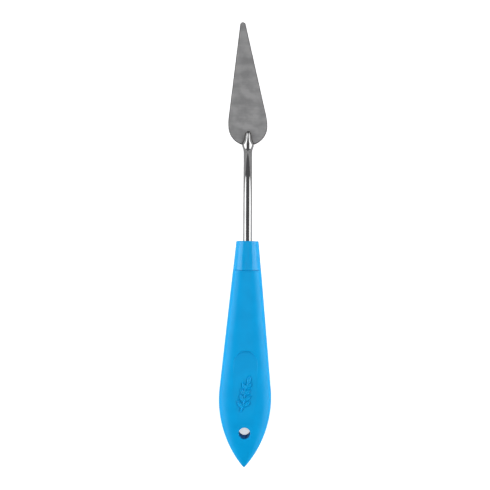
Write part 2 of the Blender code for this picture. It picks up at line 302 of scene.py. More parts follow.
def rim_cut(x, along):
    """How deep the rounded rim of the hanging hole lies below the face."""
    beyond = HOLE_RADIUS + HOLE_FILLET - math.hypot(x, along - HOLE_FROM_BUTT)
    if beyond <= 0:
        return 0
    return HOLE_FILLET - math.sqrt(max(0, HOLE_FILLET**2 - min(beyond, HOLE_FILLET) ** 2))


FLASH_WIDTH = 0.22 * MM  # of the low ridge that the mould's halves leave along each side
FLASH_HEIGHT = 0.05 * MM
FLASH_FADE = 1 * MM  # it fades out over this distance at the point of the butt


def face_point(angle, along):
    """A point of the handle's upper face with its flat, its hole rim and the mould's flash."""
    sized_at = max(along, BUTT_BLUNT)
    width = half_width(sized_at)
    x, z = section(angle, width, half_thickness(sized_at), BODY_SECTION_POWER)
    flash = FLASH_HEIGHT * max(0, 1 - z / FLASH_WIDTH) * clamp(along / FLASH_FADE)
    z -= panel_cut(x, along, z) + rim_cut(x, along)
    return x + math.copysign(flash, x), along, z


# The sprig that stands on the upper flat. Its stem's ends: across, and from the butt.
SPRIG_FROM = (-1.9 * MM, 26.2 * MM)
SPRIG_TO = (1.3 * MM, 38.6 * MM)
SPRIG_HEIGHT = 0.32 * MM
SPRIG_EDGE = 0.20 * MM
STEM_HALF_WIDTH = 0.24 * MM
STEM_SWAY = 0.45 * MM
STEM_STEPS = 16
LEAF_PAIRS = 4
LEAF_HALF_WIDTH = 0.72 * MM
LEAF_LENGTH = 3.7 * MM  # of the lowest pair
LEAF_LENGTH_LOSS = 0.35 * MM  # from each pair to the next
LAST_LEAF_LENGTH = 3.0 * MM
LEAF_SPREAD = math.radians(52)  # from the stem
LEAF_CURL = 0.35  # share of its heading that a leaf loses towards its tip
LEAF_LEAD = 0.85  # below 1, a leaf is widest before its middle
LEAF_ROUNDNESS = 0.8  # below 1, it is fuller than a sine
LEAF_STEPS = 12
FIRST_PAIR = 0.12  # places along the stem, as shares of it
PAIR_PITCH = 0.23
PAIR_STAGGER = 0.05
VEIN_WIDTH = 0.13 * MM
VEIN_DEPTH = 0.55  # share of the sprig's height
VEIN_INSET = 0.15 * MM  # veins stop this far inside a leaf's edge
MOAT_MIDDLE = 0.27 * MM  # outside the sprig's edge, of the shallow groove that sets it off
MOAT_WIDTH = 0.17 * MM
MOAT_DEPTH = 0.20 * MM


def stem_point(share):
    """The stem, as a shallow S from its foot to the root of the last leaf."""
    x = SPRIG_FROM[0] + share * (SPRIG_TO[0] - SPRIG_FROM[0])
    y = SPRIG_FROM[1] + share * (SPRIG_TO[1] - SPRIG_FROM[1])
    sway = STEM_SWAY * math.sin(2 * math.pi * share)
    return x + sway, y


def leaf(root, heading, length):
    """(x, y, half width) along a leaf that curls a little towards the stem's tip."""
    stations = []
    x, y = root
    for i in range(LEAF_STEPS + 1):
        share = i / LEAF_STEPS
        fullness = math.sin(math.pi * share**LEAF_LEAD) ** LEAF_ROUNDNESS
        stations.append((x, y, LEAF_HALF_WIDTH * fullness))
        turned = heading * (1 - LEAF_CURL * share)
        x += length / LEAF_STEPS * math.sin(turned)
        y += length / LEAF_STEPS * math.cos(turned)
    return stations


def sprig_strokes():
    """The stem and the leaves, each a run of (x, y, half width)."""
    stem = [(*stem_point(i / STEM_STEPS), STEM_HALF_WIDTH) for i in range(STEM_STEPS + 1)]
    lean = math.atan2(SPRIG_TO[0] - SPRIG_FROM[0], SPRIG_TO[1] - SPRIG_FROM[1])
    leaves = []
    for i in range(LEAF_PAIRS):
        for side in (-1, 1):
            share = FIRST_PAIR + PAIR_PITCH * i + PAIR_STAGGER * (side > 0)
            length = LEAF_LENGTH - LEAF_LENGTH_LOSS * i
            leaves.append(leaf(stem_point(share), lean + side * LEAF_SPREAD, length))
    leaves.append(leaf(stem_point(1), lean, LAST_LEAF_LENGTH))
    return [stem], leaves


def distance_to_strokes(points, strokes):
    """For each point, (distance outside the nearest stroke, distance from its centreline)."""
    outside = np.full(len(points), np.inf)
    off_centre = np.full(len(points), np.inf)
    for stroke in strokes:
        for (x0, y0, w0), (x1, y1, w1) in zip(stroke, stroke[1:]):
            along = np.array([x1 - x0, y1 - y0])
            span = float(along @ along)
            relative = points - np.array([x0, y0])
            share = np.clip(relative @ along / span, 0, 1)
            away = np.hypot(*(relative - share[:, None] * along).T)
            outside = np.minimum(outside, away - (w0 + share * (w1 - w0)))
            off_centre = np.minimum(off_centre, away)
    return outside, off_centre


def sprig_relief(plan):
    """Height of the sprig over the flat at each point of the plan, less the groove round it."""
    stems, leaves = sprig_strokes()
    points = np.array(plan)
    stem_out, _ = distance_to_strokes(points, stems)
    leaf_out, leaf_off = distance_to_strokes(points, leaves)
    outside = np.minimum(stem_out, leaf_out)
    rise = np.clip(0.5 - outside / SPRIG_EDGE, 0, 1)
    rise = rise * rise * (3 - 2 * rise)
    vein = np.exp(-((leaf_off / VEIN_WIDTH) ** 2)) * (leaf_out < -VEIN_INSET) * (stem_out > 0)
    moat = np.exp(-(((outside - MOAT_MIDDLE) / MOAT_WIDTH) ** 2))
    return SPRIG_HEIGHT * rise * (1 - VEIN_DEPTH * vein) - MOAT_DEPTH * moat


# Spacing of the points in the flat domain, in millimetres.
EDGE_STEP = 0.5
FACE_GRID = 0.55
FACE_MARGIN = (0.5, 0.4)  # kept clear along the domain's sides and ends
FLASH_COLUMNS = (0, 0.08, 0.25)  # from each side
FILL_CLEARANCE = 0.1
SPRIG_GRID = 0.13  # in the plan, over the box that holds the sprig
SPRIG_BOX = ((-5.6, 25.0), (5.0, 42.6))

SECTION_STEPS = 64  # over half of a section
PANEL_WALL_STEPS = 8
PANEL_SIDE_STEPS = 26
PANEL_SIDE_START = BELLY + 3 * MM  # nearer the butt the wall has run out
PANEL_ARCH_STEP = 0.3 * MM
RIM_STEPS = 6
RIM_POINTS = 72
BORE_STEPS = 8


def panel_lines():
    """Runs of domain points that follow the wall of the flat, from inside to outside."""
    lines = []
    climb = (PANEL_CROWN - PANEL_SIDE_START) / PANEL_SIDE_STEPS
    for i in range(PANEL_WALL_STEPS + 1):
        offset = -PANEL_WALL_IN + (PANEL_WALL_IN + PANEL_WALL_OUT) * i / PANEL_WALL_STEPS
        radius = PANEL_HALF_WIDTH + offset
        side = [(radius, PANEL_SIDE_START + climb * j) for j in range(PANEL_SIDE_STEPS)]
        arch = arc((0, PANEL_CROWN), radius, 0, math.pi, PANEL_ARCH_STEP)
        outline = side + arch + [(-x, y) for x, y in reversed(side)]
        lines.append([to_sheet(x, y) for x, y in outline])
    return lines


def hole_circle(radius):
    """(x, distance from the butt) round the axis of the hanging hole."""
    circle = []
    for i in range(RIM_POINTS):
        angle = 2 * math.pi * i / RIM_POINTS
        circle.append((radius * math.cos(angle), HOLE_FROM_BUTT + radius * math.sin(angle)))
    return circle


def rim_loops():
    """Loops of domain points down the rounded rim of the hanging hole."""
    loops = []
    for i in range(RIM_STEPS + 1):
        radius = HOLE_RADIUS + HOLE_FILLET * (1 - math.sin(math.pi / 2 * i / RIM_STEPS))
        loops.append([to_sheet(x, y) for x, y in hole_circle(radius)])
    return loops


def border():
    """The domain's frame, with more columns close to each side for the mould's flash."""
    length = sheet_row(NECK)
    rows = math.ceil(length / EDGE_STEP)
    stations = [length * i / rows for i in range(rows + 1)]
    width = SHEET_SCALE * math.pi
    lines = []
    for column in FLASH_COLUMNS:
        lines.append([(column, row) for row in stations])
        lines.append([(width - column, row) for row in stations])
    inner = [width * i / SECTION_STEPS for i in range(SECTION_STEPS + 1)]
    for row in (0, length):
        lines.append([(column, row) for column in inner])
    return lines


def face_fill():
    """Points that fill the domain of either face."""
    width, length = SHEET_SCALE * math.pi, sheet_row(NECK)
    far = (width - FACE_MARGIN[0], length - FACE_MARGIN[1])
    return hex_grid(FACE_MARGIN, far, FACE_GRID)


def with_sprig(fill):
    """The same points, with a much finer grid over the box that holds the sprig."""
    (left, near), (right, far) = SPRIG_BOX
    low = to_sheet(right * MM, near * MM)
    high = to_sheet(left * MM, far * MM)
    kept = [p for p in fill if not (low[0] < p[0] < high[0] and low[1] < p[1] < high[1])]
    return kept + [to_sheet(x * MM, y * MM) for x, y in hex_grid(*SPRIG_BOX, SPRIG_GRID)]


def add_face(shape, side):
    """One face of the handle, up to the collar's line. side is 1 above and -1 below."""
    fill = with_sprig(face_fill()) if side > 0 else face_fill()
    flat, faces = triangulate(border() + panel_lines(), rim_loops(), fill, FILL_CLEARANCE)
    points = [face_point(p.x / SHEET_SCALE, sheet_along(p.y)) for p in flat]
    relief = [0] * len(points)
    if side > 0:
        relief = sprig_relief([(x, y) for x, y, _ in points])
    verts = [
        shape.verts.new((x, y, side * (z + rise))) for (x, y, z), rise in zip(points, relief)
    ]
    for face in faces:
        middle = [sum(points[i][axis] for i in face) / len(face) for axis in (0, 1)]
        if math.hypot(middle[0], middle[1] - HOLE_FROM_BUTT) > HOLE_RADIUS:
            shape.faces.new([verts[i] for i in face])


def add_hole_wall(shape):
    """The bore between the two rounded rims."""
    circle = hole_circle(HOLE_RADIUS)
    rim = [(x, y, face_point(math.acos(x / half_width(y)), y)[2]) for x, y in circle]
    levels = [1 - 2 * i / BORE_STEPS for i in range(BORE_STEPS + 1)]
    rings = [[(x, y, z * level) for x, y, z in rim] for level in levels]
    skin(shape, rings, close_start=False, close_end=False)


def full_ring(along, width, thickness, power):
    """A whole section with the same angles as the end of the two faces."""
    ring = []
    for side in (1, -1):
        for i in range(SECTION_STEPS):
            angle = math.pi * i / SECTION_STEPS
            x, z = section(angle, width, thickness, power)
            ring.append((side * x, along, side * z))
    return ring


LINE_DEPTH = 0.018 * MM  # of the fine groove where the collar meets the body
LINE_WIDTH = 0.12 * MM
COLLAR_START = NECK + LINE_WIDTH
COLLAR_END = HANDLE_LENGTH - COLLAR_FILLET
GROOVE_SHARES = (0.35, 1)  # of its depth, at the stations down its near side
SHOULDER = 0.22 * MM  # height of the collar's rounded step, above and below
SHOULDER_LENGTH = 0.8  # its length, as a share of that
SHOULDER_SIDE = 0.6  # and its height at the sides
SHOULDER_DEGREES = (10, 30, 50, 70, 90)
COLLAR_STEPS = 18
FILLET_DEGREES = (15, 30, 45, 60, 75, 90)
SOCKET_RADIUS = ROD_RADIUS + 0.02 * MM
SOCKET_CHAMFER = 0.18 * MM
SOCKET_SURROUND = 1.2 * MM  # a ring of the end face round the socket
HANDLE_WELD = 0.002 * MM  # points closer than this are joined


def groove_rings():
    """Down the near side of the fine groove, from the body's section to a round one."""
    width = half_width(NECK)
    rings = [full_ring(NECK, width, NECK_HALF_THICKNESS, BODY_SECTION_POWER)]
    for share in GROOVE_SHARES:
        inset = LINE_DEPTH * share
        power = BODY_SECTION_POWER + (2 - BODY_SECTION_POWER) * share
        along = NECK + LINE_WIDTH * share / 2
        rings.append(full_ring(along, width - inset, NECK_HALF_THICKNESS - inset, power))
    return rings


def shoulder_rings():
    """The collar's rounded step, which stands over the body."""
    rings = []
    for degrees in SHOULDER_DEGREES:
        angle = math.radians(degrees)
        inset = SHOULDER * (1 - math.sin(angle))
        along = COLLAR_START + SHOULDER * (1 - math.cos(angle)) * SHOULDER_LENGTH
        width = half_width(along) - inset * SHOULDER_SIDE
        rings.append(full_ring(along, width, COLLAR_FOOT_HALF_THICKNESS - inset, 2))
    return rings


def taper_rings():
    """The collar's length, which tapers to its end."""
    rings = []
    first = COLLAR_START + SHOULDER
    for i in range(1, COLLAR_STEPS + 1):
        share = i / COLLAR_STEPS
        along = first + share * (COLLAR_END - first)
        thickness = COLLAR_FOOT_HALF_THICKNESS
        thickness += share * (COLLAR_END_HALF_THICKNESS - COLLAR_FOOT_HALF_THICKNESS)
        rings.append(full_ring(along, half_width(along), thickness, 2))
    return rings


def nose_rings():
    """The rounded edge of the collar's end."""
    rings = []
    for degrees in FILLET_DEGREES:
        angle = math.radians(degrees)
        inset = COLLAR_FILLET * (1 - math.cos(angle))
        along = COLLAR_END + COLLAR_FILLET * math.sin(angle)
        width = half_width(COLLAR_END) - inset
        rings.append(full_ring(along, width, COLLAR_END_HALF_THICKNESS - inset, 2))
    return rings


def socket_rings():
    """The end face and the socket that grips the tang, down to its blind end."""
    stations = (
        (SOCKET_RADIUS + SOCKET_SURROUND, HANDLE_LENGTH),
        (SOCKET_RADIUS + SOCKET_CHAMFER, HANDLE_LENGTH),
        (SOCKET_RADIUS, HANDLE_LENGTH - SOCKET_CHAMFER),
        (SOCKET_RADIUS, HANDLE_LENGTH - TANG_LENGTH / 2),
        (SOCKET_RADIUS, HANDLE_LENGTH - TANG_LENGTH - TANG_CLEARANCE),
    )
    return [full_ring(along, radius, radius, 2) for radius, along in stations]


def add_collar(shape):
    """The round collar, from its line to the end of the socket."""
    rings = groove_rings() + shoulder_rings() + taper_rings() + nose_rings() + socket_rings()
    skin(shape, rings, close_start=False)


def handle_mesh():
    """The whole moulding, in the handle's own frame."""
    shape = bmesh.new()
    for side in (1, -1):
        add_face(shape, side)
    add_hole_wall(shape)
    add_collar(shape)
    butt = full_ring(0, half_width(BUTT_BLUNT), half_thickness(BUTT_BLUNT), BODY_SECTION_POWER)
    shape.faces.new([shape.verts.new(point) for point in butt])
    bmesh.ops.remove_doubles(shape, verts=shape.verts, dist=HANDLE_WELD)
    return finish_mesh("handle_moulding", shape)


def handle_height():
    """Height of the handle's axis at the butt, so that the tilted handle just touches z = 0."""
    steps = 400
    lowest = min(
        s * math.sin(HANDLE_TILT) - half_thickness(s) * math.cos(HANDLE_TILT)
        for s in (BELLY * i / steps for i in range(steps + 1))
    )
    return -lowest


def on_axis(along):
    """(y, z) of the point of the handle's axis this far from the butt."""
    return (
        -OVERALL_LENGTH / 2 + along * math.cos(HANDLE_TILT),
        handle_height() + along * math.sin(HANDLE_TILT),
    )


def handle_matrix():
    """From the handle's own frame to the part's."""
    return Matrix.Translation((0, *on_axis(0))) @ Matrix.Rotation(HANDLE_TILT, 4, "X")


# Shank

BEND_STEP = math.radians(1.5)
STRAIGHT_STEPS = 24
FOOT_STEP = 0.12 * MM
ROD_POINTS = 72
SINK_START = 1.5 * MM  # before the heel, the rod's underside starts to sink into the braze
SINK_RUN = 2 * MM


def bend(before, corner, after, radius):
    """(y, z, heading) along the arc that rounds a corner of the centreline."""
    into = Vector((corner[0] - before[0], corner[1] - before[1])).normalized()
    out = Vector((after[0] - corner[0], after[1] - corner[1])).normalized()
    start_heading = math.atan2(into.y, into.x)
    turn = math.atan2(out.y, out.x) - start_heading
    side = math.copysign(1, turn)
    start = Vector(corner) - into * radius * math.tan(abs(turn) / 2)
    centre = start + Vector((-into.y, into.x)) * side * radius
    steps = math.ceil(abs(turn) / BEND_STEP)
    stations = []
    for i in range(steps + 1):
        heading = start_heading + turn * i / steps
        outward = Vector((math.sin(heading), -math.cos(heading))) * side
        point = centre + outward * radius
        stations.append((point.x, point.y, heading))
    return stations


def foot_size(distance):
    """The foot's sizes this far from its nose, on smooth curves through FOOT_SECTIONS."""
    rows = FOOT_SECTIONS
    if distance >= rows[-1][0]:
        return ROD_RADIUS, 2 * ROD_RADIUS, ROD_RADIUS, 2
    i = max(k for k in range(len(rows) - 1) if rows[k][0] <= max(0, distance))
    near, far = rows[i], rows[i + 1]
    before, after = rows[max(0, i - 1)], rows[min(len(rows) - 1, i + 2)]
    span = far[0] - near[0]
    t = (distance - near[0]) / span
    # A cubic between the two rows, with its slopes from the rows on either side of each.
    sizes = []
    for k in range(1, 5):
        rise_in = (far[k] - before[k]) / (far[0] - before[0]) * span
        rise_out = (after[k] - near[k]) / (after[0] - near[0]) * span
        sizes.append(
            near[k] * (2 * t**3 - 3 * t**2 + 1)
            + rise_in * (t**3 - 2 * t**2 + t)
            + far[k] * (3 * t**2 - 2 * t**3)
            + rise_out * (t**3 - t**2)
        )
    return tuple(sizes)


def power_of(value, exponent):
    """A power that keeps the sign of its value."""
    return math.copysign(abs(value) ** exponent, value)


def rod_ring(y, z, heading, width, top, widest, power, drift, sink):
    """A ring across the centreline. top and widest are heights over the rod's underside."""
    ring = []
    for i in range(ROD_POINTS):
        angle = 2 * math.pi * i / ROD_POINTS
        x = power_of(math.cos(angle), 2 / power) * width
        lift = power_of(math.sin(angle), 2 / power)
        reach = (top - widest) if lift > 0 else widest + sink
        height = widest + lift * reach - ROD_RADIUS
        ring.append((x - drift, y - height * math.sin(heading), z + height * math.cos(heading)))
    return ring


def tang_stations():
    """(distance from the butt, radius): a chamfered end, then the grooves the handle grips."""
    start = HANDLE_LENGTH - TANG_LENGTH
    stations = [(start, ROD_RADIUS - TANG_CHAMFER), (start + TANG_CHAMFER, ROD_RADIUS)]
    bottom = ROD_RADIUS - TANG_GROOVE_DEPTH
    for i in range(TANG_GROOVES):
        low = start + (2 * i + 2) * TANG_GROOVE_WIDTH
        high = low + TANG_GROOVE_WIDTH
        stations += [
            (low, ROD_RADIUS),
            (low + TANG_GROOVE_DEPTH, bottom),
            (high - TANG_GROOVE_DEPTH, bottom),
            (high, ROD_RADIUS),
        ]
    return stations


def shank_corners():
    """(y, z) of the centreline's corners, from the collar's end face to the foot's nose."""
    collar = on_axis(HANDLE_LENGTH)
    corner = on_axis(HANDLE_LENGTH + STRAIGHT_RUN)
    heel = (corner[0] + SLOPE_RUN, BLADE_THICKNESS + GAP + ROD_RADIUS)
    nose = (heel[0] + FOOT_LENGTH, heel[1])
    return collar, corner, heel, nose


def shank_path():
    """(y, z, heading) from the collar to the nose, close together wherever it curves."""
    collar, corner, heel, nose = shank_corners()
    first = bend(collar, corner, heel, FIRST_BEND_RADIUS)
    second = bend(corner, heel, nose, SECOND_BEND_RADIUS)
    path = []
    for i in range(STRAIGHT_STEPS):
        y = collar[0] + (first[0][0] - collar[0]) * i / STRAIGHT_STEPS
        z = collar[1] + (first[0][1] - collar[1]) * i / STRAIGHT_STEPS
        path.append((y, z, HANDLE_TILT))
    path += first + second
    start = second[-1][0]
    steps = math.ceil((nose[0] - start) / FOOT_STEP)
    for i in range(1, steps + 1):
        share = i / steps
        path.append((start + (nose[0] - start) * share, nose[1], 0))
    return path


def shank_mesh():
    """One rod: the tang, the straight run, the crank and the forged foot."""
    collar, _, heel, nose = shank_corners()
    rings = []
    for along, radius in tang_stations():
        y, z = on_axis(along)
        top = ROD_RADIUS + radius
        rings.append(rod_ring(y, z, HANDLE_TILT, radius, top, ROD_RADIUS, 2, 0, 0))
    for y, z, heading in shank_path():
        width, top, widest, power = foot_size(nose[0] - y)
        drift = clamp((y - collar[0]) / (heel[0] - collar[0])) * SHANK_DRIFT
        sink = GAP * smooth((y - heel[0] + SINK_START) / SINK_RUN)
        rings.append(rod_ring(y, z, heading, width, top, widest, power, drift, sink))
    shape = bmesh.new()
    skin(shape, rings)
    return finish_mesh("shank_rod", shape)


# Blade and braze

BLADE_STEP = 0.4 * MM
BLADE_TIP_STEP = 0.12 * MM
BLADE_WELD = 0.001 * MM  # points closer than this are joined

# Points that fill the blade's faces, in millimetres.
BLADE_GRID = 0.9
BLADE_BOX = ((-9.5, -9.5), (9.5, BLADE_TIP_REACH / MM))
BLADE_CLEARANCE = 0.2

# The flanks, near enough for those points.
BLADE_MARGIN = 1 * MM
BLADE_END_WIDTH = 0.8 * BLADE_TIP_RADIUS
BLADE_SLOPE = 1.02 * math.sin(BLADE_FLANK)

# Rounded and ground edge of the blade: inset from the outline, share of the height there.
BLADE_EDGE = (
    (0.04 * MM, 0.0),
    (0.01 * MM, 0.10),
    (0.0 * MM, 0.30),
    (0.01 * MM, 0.60),
    (0.04 * MM, 0.80),
    (0.09 * MM, 0.91),
    (0.16 * MM, 0.97),
    (0.30 * MM, 1.0),
)

# Section of the braze: share of its margin round the foot, height over its underside.
SEAM_SECTION = (
    (1.0, 0.0 * MM),
    (0.97, 0.05 * MM),
    (0.7, 0.10 * MM),
    (0.4, 0.2 * MM),
    (0.15, 0.36 * MM),
    (0, 0.5 * MM),
)
SEAM_STEPS = 48  # along each side
SEAM_NOSE_STEPS = 10  # over each quarter of its round end
SEAM_SINK = 0.02 * MM  # of its underside below the blade's upper face


def straight(start, end, step):
    """Points on a straight line, with both of its ends, at most this far apart."""
    steps = max(1, math.ceil(math.dist(start, end) / step))
    return [
        tuple(a + (b - a) * i / steps for a, b in zip(start, end)) for i in range(steps + 1)
    ]


def blade_outline(inset):
    """(v, u) round the blade, from the middle of the heel by the right flank and the tip."""
    tip_centre = BLADE_TIP_REACH - BLADE_TIP_RADIUS
    shoulder = BLADE_HEEL_RADIUS - BLADE_SHOULDER_RADIUS
    from_centre = BLADE_TIP_RADIUS + tip_centre * math.sin(BLADE_FLANK)
    shoulder_rise = (
        from_centre - BLADE_SHOULDER_RADIUS - shoulder * math.cos(BLADE_FLANK)
    ) / math.sin(BLADE_FLANK)
    side = arc((0, 0), BLADE_HEEL_RADIUS - inset, -math.pi / 2, 0, BLADE_STEP)
    centre, radius = (shoulder, shoulder_rise), BLADE_SHOULDER_RADIUS - inset
    high = arc(centre, radius, 0, BLADE_FLANK, BLADE_STEP)
    centre, radius = (0, tip_centre), BLADE_TIP_RADIUS - inset
    tip = arc(centre, radius, BLADE_FLANK, math.pi / 2, BLADE_TIP_STEP)
    side += straight(side[-1], high[0], BLADE_STEP)[1:-1] + high
    side += straight(high[-1], tip[0], BLADE_STEP)[1:-1] + tip
    return side + [(-v, u) for v, u in reversed(side[1:-1])]


def resample(outline, count):
    """The same closed outline with this many points, evenly shared by index."""
    if len(outline) == count:
        return outline
    made = []
    for i in range(count):
        at = i * len(outline) / count
        k, t = int(at), at - int(at)
        here, after = outline[k], outline[(k + 1) % len(outline)]
        made.append(tuple(a + (b - a) * t for a, b in zip(here, after)))
    return made


def blade_top(u):
    """Height of the blade's upper face: full at the foot, thinner towards the tip."""
    share = clamp(u / BLADE_TIP_REACH)
    return BLADE_THICKNESS + share * (BLADE_TIP_THICKNESS - BLADE_THICKNESS)


def blade_centre():
    """(x, y) of the centre of the blade's round heel."""
    reach = (BLADE_TIP_REACH - BLADE_TIP_RADIUS) * math.cos(BLADE_LEAN) + BLADE_TIP_RADIUS
    return BLADE_OFFSET, OVERALL_LENGTH / 2 - reach


def inside_blade(v, u):
    """True inside the outline by the margin, near enough for the points that fill the faces."""
    if u < 0:
        return math.hypot(v, u) < BLADE_HEEL_RADIUS - BLADE_MARGIN
    flank = BLADE_END_WIDTH + (BLADE_TIP_REACH - u) * BLADE_SLOPE
    return abs(v) < min(BLADE_HEEL_RADIUS, flank) - BLADE_MARGIN


def add_blade_face(shape, ring, side):
    """The flat inside of a ring: side is 1 for the upper face and 0 for the underside."""
    loop = [(v / MM, u / MM) for v, u, _ in ring]
    fill = [p for p in hex_grid(*BLADE_BOX, BLADE_GRID) if inside_blade(p[0] * MM, p[1] * MM)]
    flat, faces = triangulate([], [loop], fill, BLADE_CLEARANCE)
    verts = [shape.verts.new((p.x * MM, p.y * MM, side * blade_top(p.y * MM))) for p in flat]
    for face in faces:
        shape.faces.new([verts[i] for i in face])


def blade_mesh():
    """The leaf with its rounded edge. The centre of its heel is the origin, and +Y its tip."""
    shape = bmesh.new()
    count = len(blade_outline(0))
    rings = []
    for inset, share in BLADE_EDGE:
        outline = resample(blade_outline(inset), count)
        rings.append([(v, u, share * blade_top(u)) for v, u in outline])
    skin(shape, rings, close_start=False, close_end=False)
    add_blade_face(shape, rings[0], 0)
    add_blade_face(shape, rings[-1], 1)
    bmesh.ops.remove_doubles(shape, verts=shape.verts, dist=BLADE_WELD)
    return finish_mesh("blade_leaf", shape)


def seam_outline(margin):
    """Half outline of the braze, from the heel to past the nose: (x, distance from nose)."""
    nose_y = shank_corners()[3][0]
    heel_y = blade_centre()[1] - BLADE_HEEL_RADIUS
    length = nose_y - heel_y - SEAM_INSET
    side = []
    for i in range(SEAM_STEPS + 1):
        from_nose = length * (1 - i / SEAM_STEPS)
        from_heel = length - from_nose + SEAM_INSET
        chord = math.sqrt(BLADE_HEEL_RADIUS**2 - (BLADE_HEEL_RADIUS - from_heel) ** 2)
        width = min(foot_size(from_nose)[0] + margin, chord - SEAM_INSET)
        side.append((width, -from_nose))
    nose_width = side[-1][0]
    for i in range(1, SEAM_NOSE_STEPS + 1):
        angle = math.pi / 2 * i / SEAM_NOSE_STEPS
        side.append((nose_width * math.cos(angle), margin * math.sin(angle)))
    return side


def seam_mesh():
    """A fillet of braze: wide on the blade, drawn up against the foot's flanks."""
    shape = bmesh.new()
    rings = []
    for share, height in SEAM_SECTION:
        side = seam_outline(SEAM_MARGIN * share)
        outline = side + [(-x, y) for x, y in reversed(side[:-1])]
        rings.append([(x, y, height) for x, y in outline])
    skin(shape, rings)
    return finish_mesh("braze_fillet", shape)


# Materials. Noise is scaled to metres: at 1000 its spots are about a millimetre wide.

# The mix node has sockets of each kind under the same names. These are its colour ones.
MIX_COLOURS = (6, 7)
MIX_RESULT = 2


class Recipe:
    """A node tree, with short ways to add nodes and join them."""

    def __init__(self, tree):
        self.tree = tree

    def add(self, kind, links=None, **settings):
        """A new node. links gives the source of each named input."""
        node = self.tree.nodes.new(kind)
        for key, value in settings.items():
            setattr(node, key, value)
        for socket, source in (links or {}).items():
            self.tree.links.new(source, node.inputs[socket])
        return node

    def place(self, scale=(1, 1, 1)):
        """The piece's own coordinates, stretched."""
        where = self.add("ShaderNodeTexCoord")
        mapping = self.add("ShaderNodeMapping", {"Vector": where.outputs["Object"]})
        mapping.inputs["Scale"].default_value = scale
        return mapping.outputs["Vector"]

    def noise(self, scale, detail=3, roughness=0.55, stretch=(1, 1, 1)):
        """Noise about 0.5. A stretch below 1 draws it out along that axis."""
        node = self.add("ShaderNodeTexNoise", {"Vector": self.place(stretch)})
        node.inputs["Scale"].default_value = scale
        node.inputs["Detail"].default_value = detail
        node.inputs["Roughness"].default_value = roughness
        return node.outputs["Fac"]

    def remap(self, source, low, high, from_low=0.3, from_high=0.7):
        """Low to high while the source goes over its range, and held beyond it."""
        node = self.add("ShaderNodeMapRange", {"Value": source})
        node.inputs["From Min"].default_value = from_low
        node.inputs["From Max"].default_value = from_high
        node.inputs["To Min"].default_value = low
        node.inputs["To Max"].default_value = high
        return node.outputs["Result"]

    def mix_colour(self, factor, first, second):
        """From the first to the second colour or socket."""
        node = self.add("ShaderNodeMix", data_type="RGBA")
        self.tree.links.new(factor, node.inputs["Factor"])
        for index, value in zip(MIX_COLOURS, (first, second)):
            if isinstance(value, tuple):
                node.inputs[index].default_value = (*value, 1)
            else:
                self.tree.links.new(value, node.inputs[index])
        return node.outputs[MIX_RESULT]

    def maths(self, operation, first, second):
        """The result of an operation on two sockets."""
        node = self.add("ShaderNodeMath", operation=operation)
        self.tree.links.new(first, node.inputs[0])
        self.tree.links.new(second, node.inputs[1])
        return node.outputs[0]

    def bump(self, height, distance, before=None):
        """A normal tilted by a height this deep, over an earlier normal if there is one."""
        node = self.add("ShaderNodeBump", {"Height": height})
        node.inputs["Distance"].default_value = distance
        node.inputs["Strength"].default_value = 1
        if before is not None:
            self.tree.links.new(before, node.inputs["Normal"])
        return node.outputs["Normal"]


class Surface(Recipe):
    """A new material with its shader."""

    def __init__(self, name):
        self.material = bpy.data.materials.new(name)
        self.material.use_nodes = True
        super().__init__(self.material.node_tree)
        self.shader = self.tree.nodes["Principled BSDF"]

    def set(self, socket, value):
        """Joins a source to the shader's input, or sets a plain value on it."""
        if isinstance(value, bpy.types.NodeSocket):
            self.tree.links.new(value, self.shader.inputs[socket])
        else:
            self.shader.inputs[socket].default_value = value


DEEP_BLUE, BRIGHT_BLUE = (0.0, 0.288, 0.622), (0.0, 0.314, 0.665)
PLASTIC_IOR = 1.49
SCUFF_DEPTH = 0.035  # change of roughness
GRAIN_HEIGHT = 0.012 * MM
WAVE_HEIGHT = 0.12 * MM


def blue_plastic(name, gloss, rough):
    """The handle's plastic, slightly clouded, with fine scuffs along it and a soft wave."""
    made = Surface(name)
    cloud = made.remap(made.noise(150, 2), 0, 1)
    made.set("Base Color", made.mix_colour(cloud, DEEP_BLUE, BRIGHT_BLUE))
    made.set("Metallic", 0)
    made.set("IOR", PLASTIC_IOR)
    made.set("Specular IOR Level", gloss)
    scuffs = made.noise(900, 3, 0.6, (1, 0.15, 1))
    made.set("Roughness", made.remap(scuffs, rough - SCUFF_DEPTH, rough + SCUFF_DEPTH))
    grain = made.bump(made.noise(3500, 2), GRAIN_HEIGHT)
    made.set("Normal", made.bump(made.noise(90, 1), WAVE_HEIGHT, grain))
    return made.material


def satin_plastic():
    """The handle's body."""
    return blue_plastic("blue_satin_plastic", gloss=0.16, rough=0.32)


def glossy_plastic():
    """The collar, which is smoother."""
    return blue_plastic("blue_glossy_plastic", gloss=0.36, rough=0.18)


def polished_steel():
    """The rod, with drawing streaks along it."""
    made = Surface("polished_drawn_steel")
    streaks = made.noise(1500, 3, 0.6, (1, 0.02, 1))
    tone = made.remap(made.noise(260, 3), 0, 1)
    made.set("Base Color", made.mix_colour(tone, (0.36, 0.36, 0.362), (0.41, 0.41, 0.41)))
    made.set("Metallic", 1)
    made.set("Roughness", made.remap(streaks, 0.05, 0.10))
    made.set("Normal", made.bump(streaks, 0.004 * MM))
    return made.material


